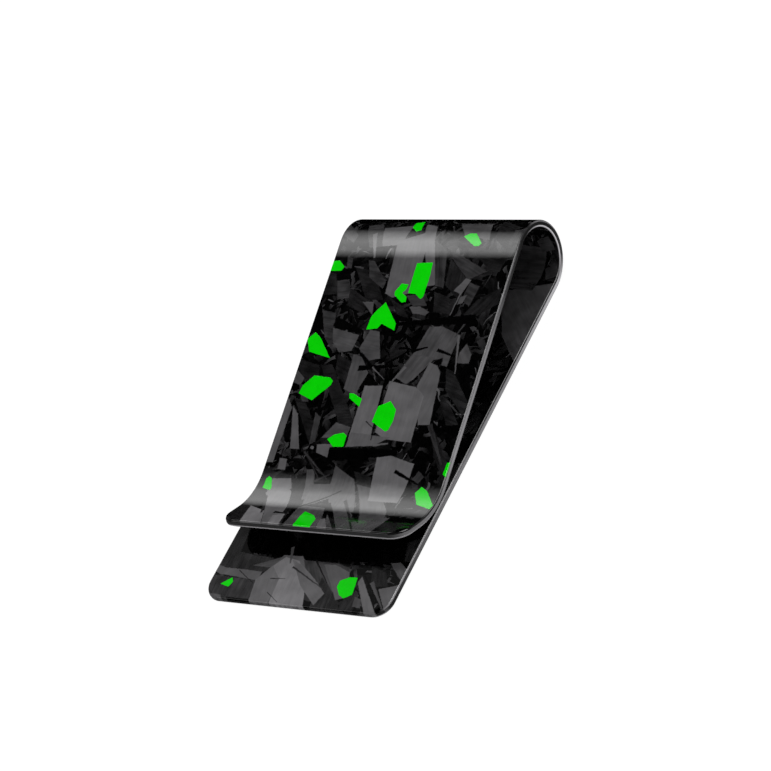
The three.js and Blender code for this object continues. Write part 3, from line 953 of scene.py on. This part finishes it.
INNER_CHIPS = [
    # The back leaf's tip
    # The black chip below is a painted shadow under the lip.
    (BLACK, (-10.8, 6.3), (-11.4, 12), (12.7, 12), (12.7, 6.4)),
    (SMOKY, (-12.7, 4), (-12.7, 12), (-11.2, 12), (-10.6, 6.3), (-10.6, 4)),
    (SMOKY, (-11, 4), (-11, 6.3), (-5.6, 5.9), (-5.6, 4)),
    (DIM, (-12.4, 0.3), (-12.6, 3), (-6.4, 2.8), (-5.9, 0.3)),
    (GREY, (-12.6, 0), (-12.6, 0.6), (-10.2, 0.5), (-9.8, 0)),
    (GREY, (-12.7, 3.5), (-12.7, 4.4), (-10.6, 3.9), (-11.4, 3.1)),
    (GREY, (-11.9, 3.2), (-11, 4.1), (-6.2, 4), (-6.2, 2.8)),
    (MID, (-7.9, 4.7), (-4.4, 6.2), (-4, 5.8), (-5.2, 4.6)),
    (GREY, (-5.6, 3.4), (-4.4, 6.4), (-1.8, 6.5), (0.6, 4.4), (0.4, 2.4)),
    (DIM, (0.8, 3), (-1.4, 6), (3.4, 6), (5.6, 5.4), (5.2, 2.2)),
    (LIGHT, (-5.9, 0), (-6.5, 2.9), (-5.2, 4.9), (-3.2, 4.3), (-3.2, 0)),
    (BRIGHT, (-3.3, 3.2), (-5.1, 4.9), (-4, 6.2), (-1.9, 5.8)),
    (BRIGHT, (-3.1, 0), (-3.4, 3.3), (-3.2, 6), (-1.9, 5.8), (0.3, 3.4), (1.7, 0)),
    (SMOKY, (2.6, 0), (2.2, 4), (5.6, 1.6), (6.6, 0)),
    (LIGHT, (3, 0.4), (0, 2.6), (-2.9, 5.9), (-1.1, 5.3), (1.5, 3.6), (3.6, 2)),
    (MID, (4.6, 2.2), (0.6, 5.8), (2.4, 5.8), (5.2, 4.4)),
    (GREY, (5.5, 1.3), (1.7, 5.6), (3.1, 5.8), (5.5, 5), (6.8, 1.8)),
    (SMOKY, (6.4, 0.2), (6.6, 2.4), (8, 2.6), (8.4, 0)),
    (MID, (8.1, 0.7), (7.8, 2), (8.8, 1.7), (9.2, 0.6)),
    (LIGHT, (10, 0), (7.2, 3.8), (7.4, 4.6), (11.6, 0)),
    (GREY, (12.4, 0.6), (10.3, 3.2), (12.7, 4), (12.7, 2.4)),
    (MID, (12.7, 4.4), (10.2, 6.6), (11.4, 6.8), (12.7, 6)),
    (DARK, (9.2, 3.4), (8, 6), (10.2, 5.4), (11.4, 3.6)),
    (DARK, (11.8, 7), (11, 9.4), (12.7, 10.4), (12.7, 7)),
    # The back leaf beside the front leaf and inside the bow
    (DARK, (7, 14), (6.6, 21), (12.7, 20), (12.7, 15.2)),
    (MID, (12.7, 34.6), (9.3, 38.2), (6, 44.8), (12.7, 46.2)),
    (DIM, (1, 36.2), (0.6, 43.4), (5.6, 44), (7, 37.2)),
    (DIM, (5.2, 45.4), (10.2, 45), (11, 50.8), (5.2, 51.6)),
    (DIM, (11.2, 46.6), (12.7, 47.2), (12.4, 48.8), (10.8, 48.2)),
    (DIM, (10.4, 50.2), (12.2, 50.6), (11.8, 52.6), (10, 51.8)),
]

INNER_SPLINTERS = [
    (DARK, (-3.4, 8.8), (-5.4, 10.2), 0.9),
    (MID, (-3.8, 7.6), (-3, 5.4), 0.45),
    (BLACK, (-9.4, 3.9), (-6.6, 2.4), 0.1),
    (BLACK, (-4, 1.4), (-2, 0.3), 0.08),
    (BLACK, (-4.6, 3.2), (-2.6, 3.4), 0.12),
    (DIM, (-2.4, 5), (3, 2.6), 0.25),
    (BLACK, (0.4, 6), (3.2, 3.4), 0.2),
    (MID, (9, 4), (12, 0.8), 0.5),
    (BLACK, (7.6, 4.8), (11.8, 0.9), 0.2),
]


def wandering(tree, place, flat, scale, detail, reach):
    """A place moved across the strip and along it by a noise."""
    way = vector(tree, "SUBTRACT", noise(tree, flat, scale, detail).outputs["Color"], (0.5, 0.5, 0.5))
    return vector(tree, "MULTIPLY_ADD", way, (reach, reach, 0.0), place)


def chip_pattern(name, placed, splinters, seed):
    """A node group that gives the chip at a place on one face of the strip."""
    tree = bpy.data.node_groups.new(name, "ShaderNodeTree")
    tree.interface.new_socket("Place", in_out="INPUT", socket_type="NodeSocketVector")
    tree.interface.new_socket("Chip", in_out="OUTPUT", socket_type="NodeSocketVector")
    given = tree.nodes.new("NodeGroupInput").outputs["Place"]
    flat = vector(tree, "MULTIPLY", given, (1, 1, 0))
    place = wandering(tree, flat, flat, 2.2, 3.0, CHIP_TEAR)
    spot = vector(tree, "ADD", place, (0, 0, 1))
    curled = wandering(tree, place, flat, 0.45, 1.0, CHIP_SWIRL)
    chips = combined(tree, *RESIN)
    for index, (cell, length, width, lightest, share) in enumerate(SHARD_LAYERS):
        chips = shard_layer(tree, chips, curled, cell, length, width, lightest, share, seed + index)
    for shade, *corners in placed:
        chips = placed_chip(tree, chips, spot, shade, *corners)
    for shade, start, end, width in splinters:
        chips = splinter(tree, chips, spot, shade, start, end, width)
    tree.links.new(chips, tree.nodes.new("NodeGroupOutput").inputs["Chip"])
    return tree


def finished_material(name):
    made = bpy.data.materials.new(name)
    made.use_nodes = True
    made.node_tree.nodes.clear()
    return made


def close_material(made, surface):
    output = add_node(made.node_tree, "OutputMaterial")
    made.node_tree.links.new(surface.outputs[0], output.inputs["Surface"])
    return made


def surfaced(made, colour, roughness, shine, bump):
    surface = add_node(made.node_tree, "BsdfPrincipled", {
        "Base Color": colour,
        "Roughness": roughness,
        "IOR": 1.5,
        "Specular IOR Level": shine,
        "Normal": bump.outputs[0],
    })
    return close_material(made, surface)


def chip_at(tree, pattern, place):
    """The chip under a place, from a pattern: how light it is, its angle and its own number."""
    group = tree.nodes.new("ShaderNodeGroup")
    group.node_tree = pattern
    tree.links.new(place, group.inputs["Place"])
    return separated(tree, group.outputs["Chip"])


def tinted(tree, light, tint):
    return vector(tree, "MULTIPLY", combined(tree, light, light, light), tint)


def along_strip(tree, station, stops):
    """A value that runs straight between stops of (station, value)."""
    total = stops[0][1]
    for (start, value), (end, next_value) in zip(stops, stops[1:]):
        change = remapped(tree, station, start, end, 0.0, next_value - value)
        total = maths(tree, "ADD", change, total)
    return total


def forged_carbon(name, pattern, rim):
    """Chopped carbon chips in black resin under a clear gloss, with painted highlight along the rounded rim.
    """
    made = finished_material(name)
    tree = made.node_tree
    place = strip_place(tree)
    shade, angle, own = chip_at(tree, pattern, place)
    along_fibres = rotated(tree, place, maths(tree, "MULTIPLY", angle, -1.0))
    stretched = vector(tree, "MULTIPLY", along_fibres, (0.3, 3.2, 1.0))
    dull = remapped(tree, shade, 0.02, 0.07, 1.0, 0.0)
    low, high = (remapped(tree, dull, 0.0, 1.0, *ends) for ends in ((0.92, 0.5), (1.07, 1.5)))
    streak = noise_between(tree, stretched, 1.0, 3.0, low, high)
    own_place = vector(tree, "MULTIPLY_ADD", combined(tree, own, own, 0.0), (37.0, 59.0, 0.0), place)
    depth = remapped(tree, shade, 0.02, 0.08, 0.35, 0.84)
    cloud = noise_between(tree, own_place, 0.5, 2.0, depth, 1.13)
    light = maths(tree, "MULTIPLY", shade, maths(tree, "MULTIPLY", streak, cloud))
    light = maths(tree, "ADD", light, LEAST_LIGHT)
    from_edge = add_node(tree, "Attribute", attribute_name="from_edge").outputs["Fac"]
    station = separated(tree, place)[1]
    near_tip = remapped(tree, station, 0.5, 1.5, 1.0, EDGE_DARK)
    light = maths(tree, "MULTIPLY", light, remapped(tree, from_edge, 0.06, 0.12, near_tip, 1.0))
    # painted highlight: light added on the rounded edge, its strength varying along the strip
    painted_rim_highlight = remapped(tree, from_edge, 0.055, 0.13, along_strip(tree, station, rim), 0.0)
    light = maths(tree, "ADD", light, painted_rim_highlight)
    colour = tinted(tree, light, (1.0, 0.975, 1.015))
    gloss = noise_between(tree, place, 0.8, 3.0, 0.06, 0.10)
    ripple = noise(tree, vector(tree, "MULTIPLY", place, (0.5, 0.5, 0.5)), 1.0, 2.0).outputs[0]
    bump = add_node(tree, "Bump", {"Strength": 0.12, "Distance": 0.0001, "Height": ripple})
    return surfaced(made, colour, gloss, remapped(tree, shade, 0.0, 0.12, 0.34, 0.62), bump)


def core_laminate(name, pattern, rim):
    """The core's cut edge: fine fibres along the strip, and the ends of chips at the tip."""
    made = finished_material(name)
    tree = made.node_tree
    place = strip_place(tree)
    fibres = noise(tree, vector(tree, "MULTIPLY", place, (6.0, 0.25, 22.0)), 1.0, 3.0).outputs[0]
    station = separated(tree, place)[1]
    # painted highlight along the core's cut edge, its strength varying along the strip
    painted_rim_highlight = along_strip(tree, station, rim)
    light = maths(tree, "MULTIPLY_ADD", painted_rim_highlight, remapped(tree, fibres, 0.3, 0.7, 0.85, 1.1), 0.002)
    shade = chip_at(tree, pattern, place)[0]
    near_tip = remapped(tree, station, 0.5, 1.5, 1.0, 0.0)
    light = maths(tree, "MULTIPLY_ADD", shade, near_tip, light)
    colour = tinted(tree, light, (1.0, 0.98, 1.02))
    bump = add_node(tree, "Bump", {"Strength": 0.3, "Distance": 0.00002, "Height": fibres})
    return surfaced(made, colour, remapped(tree, fibres, 0.3, 0.7, 0.45, 0.6), 0.35, bump)


def green_flake(name):
    """Bright green pigmented flake under the same clear gloss."""
    made = finished_material(name)
    tree = made.node_tree
    place = strip_place(tree)
    grain = noise(tree, place, 5.0, 4.0).outputs[0]
    cloud = noise_between(tree, place, 0.7, 2.0, 0.96, 1.05)
    amount = maths(tree, "MULTIPLY", remapped(tree, grain, 0.3, 0.7, 0.94, 1.05), cloud)
    colour = tinted(tree, amount, (0.002, 0.60, 0.001))
    gloss = remapped(tree, grain, 0.3, 0.7, 0.06, 0.09)
    bump = add_node(tree, "Bump", {"Strength": 0.15, "Distance": 0.00002, "Height": grain})
    return surfaced(made, colour, gloss, 0.34, bump)


# ---- Floor, light and camera ----

# Lengths are in metres from here on.
CLIP_CENTRE = Vector((0, 0.0049, 0.004))
CAMERA_AZIMUTH, CAMERA_ELEVATION, CAMERA_ROLL = 51.55, 38.39, -35.41     # degrees
CAMERA_DISTANCE = 0.3285
FLOOR_DEPTH = 0.00002    # of the floor under the rest face
FLOOR_GLOW = 0.93
FLOOR_MATT = 0.12
FLOOR_IN_GLOSS = 0.1     # how bright the floor to the clip's right is in the gloss
WORLD_IN_GLOSS = 0.003   # how bright the world is in the gloss
SIDE_CORE = 0.36         # how far from a softbox's middle it starts to fade sideways

def build_floor():
    """A plain pale floor under the rest face."""
    ground = bmesh.new()
    bmesh.ops.create_grid(ground, x_segments=24, y_segments=24, size=1.2)
    mesh = bpy.data.meshes.new("floor")
    ground.to_mesh(mesh)
    ground.free()
    floor = bpy.data.objects.new("floor", mesh)
    floor.location.z = -FLOOR_DEPTH
    bpy.context.scene.collection.objects.link(floor)
    made = finished_material("pale_floor")
    tree = made.node_tree
    glossy = add_node(tree, "LightPath").outputs["Is Glossy Ray"]
    x = separated(tree, add_node(tree, "NewGeometry").outputs["Position"])[0]
    in_gloss = remapped(tree, x, 0.004, 0.012, 0.0, FLOOR_IN_GLOSS)
    glow = add_node(tree, "Emission", {"Color": (1, 1, 1, 1), "Strength": FLOOR_GLOW})
    matt = add_node(tree, "BsdfDiffuse", {"Color": (FLOOR_MATT, FLOOR_MATT, FLOOR_MATT, 1)})
    pale = add_node(tree, "AddShader", (glow.outputs[0], matt.outputs[0]))
    mirrored = add_node(tree, "Emission", {"Color": (1, 1, 1, 1), "Strength": in_gloss})
    both = add_node(tree, "MixShader", (glossy, pale.outputs[0], mirrored.outputs[0]))
    mesh.materials.append(close_material(made, both))
    floor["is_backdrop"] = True


def build_world():
    """White to the camera, soft light on matt surfaces, and dark in the gloss."""
    world = bpy.data.worlds.new("studio")
    bpy.context.scene.world = world
    world.use_nodes = True
    tree = world.node_tree
    tree.nodes.clear()
    ray = add_node(tree, "LightPath").outputs
    pale = add_node(tree, "Background", {"Color": (1, 1, 1, 1), "Strength": 1.0})
    dark = add_node(tree, "Background", {"Color": (1, 1, 1, 1), "Strength": WORLD_IN_GLOSS})
    lit = add_node(tree, "MixShader", (ray["Is Glossy Ray"], pale.outputs[0], dark.outputs[0]))
    both = add_node(tree, "MixShader", (ray["Is Camera Ray"], lit.outputs[0], pale.outputs[0]))
    output = add_node(tree, "OutputWorld")
    tree.links.new(both.outputs[0], output.inputs["Surface"])


def softbox(name, direction, distance, width, height, radiance, receivers=None, core=SIDE_CORE):
    """A rectangular light seen only in the gloss, facing the clip from a direction.

    Its width lies across the clip, and it lights only the receivers, if given. It fades towards
    its top and bottom from core, a share of its height from the middle, and towards its sides
    from SIDE_CORE, a share of its width.
    """
    light = bpy.data.lights.new(name, "AREA")
    light.shape = "RECTANGLE"
    light.size, light.size_y = width, height
    light.energy = radiance * math.pi * width * height
    light.use_nodes = True
    tree = light.node_tree
    parametric = separated(tree, add_node(tree, "NewGeometry").outputs["Parametric"])
    fade = 1.0
    for place, steady in zip(parametric, (SIDE_CORE, core)):
        from_middle = maths(tree, "ABSOLUTE", maths(tree, "SUBTRACT", place, 0.5))
        fade = maths(tree, "MULTIPLY", remapped(tree, from_middle, steady, 0.5, 1.0, 0.0), fade)
    emission = tree.nodes["Emission"]
    tree.links.new(fade, emission.inputs["Strength"])
    box = bpy.data.objects.new(name, light)
    towards = Vector(direction).normalized()
    across = (Vector((1, 0, 0)) - towards * towards.x).normalized()
    axes = Matrix((across, towards.cross(across), towards)).transposed()
    box.location = CLIP_CENTRE + towards * distance
    box.rotation_euler = axes.to_euler()
    box.visible_camera = False
    box.visible_diffuse = False
    bpy.context.scene.collection.objects.link(box)
    if receivers:
        group = bpy.data.collections.new(name + "_receivers")
        for piece in receivers:
            group.objects.link(piece)
        box.light_linking.receiver_collection = group


def build_lights():
    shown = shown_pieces()
    leaf_face = [piece for piece in shown if body_of(piece)[0] == "back_leaf"]
    others = [piece for piece in shown if piece not in leaf_face]
    softbox("band_light", (-0.614, 0.497, 0.613), 0.25, 0.17, 0.143, 3.7, others, core=0.15)
    softbox("leaf_light", (-0.61, 0.50, 0.60), 0.4, 0.40, 0.40, 0.17, leaf_face)
    softbox("edge_light", (0.67, 0.33, 0.64), 0.45, 0.40, 0.36, 7.0)
    softbox("end_light", (-0.61, -0.62, 0.49), 0.45, 0.20, 0.16, 2.0)


def build_camera():
    """Looks down on the clip from its front right, turned so that the bow's top lies level."""
    lens = bpy.data.cameras.new("camera")
    lens.lens = 138.3
    lens.sensor_width = 36
    lens.shift_x = 0.00065
    camera = bpy.data.objects.new("camera", lens)
    azimuth, elevation = math.radians(CAMERA_AZIMUTH), math.radians(CAMERA_ELEVATION)
    back = Vector((
        math.sin(azimuth) * math.cos(elevation),
        -math.cos(azimuth) * math.cos(elevation),
        math.sin(elevation),
    ))
    camera.location = CLIP_CENTRE + back * CAMERA_DISTANCE
    aimed = (-back).to_track_quat("-Z", "Y")
    rolled = aimed.to_matrix() @ Matrix.Rotation(math.radians(CAMERA_ROLL), 3, "Z")
    camera.rotation_euler = rolled.to_euler()
    lens.clip_start, lens.clip_end = 0.01, 50
    bpy.context.scene.collection.objects.link(camera)
    bpy.context.scene.camera = camera


outer_pattern = chip_pattern("outer_face_chips", OUTER_CHIPS, OUTER_SPLINTERS, 1)
inner_pattern = chip_pattern("inner_face_chips", INNER_CHIPS, INNER_SPLINTERS, 11)
build_plies({
    "outer_skin": forged_carbon("forged_carbon_outer", outer_pattern, OUTER_RIM_HIGHLIGHT),
    "core": core_laminate("core_laminate", inner_pattern, CORE_RIM_HIGHLIGHT),
    "inner_skin": forged_carbon("forged_carbon_inner", inner_pattern, INNER_RIM_HIGHLIGHT),
})
build_flakes(green_flake("green_flake"))
build_floor()
build_world()
build_lights()
build_camera()
bpy.context.scene.view_settings.view_transform = "Standard"

boxes = {"cad": cad_box, "visual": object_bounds()}
{name: [list(corner) for corner in box] for name, box in boxes.items()}
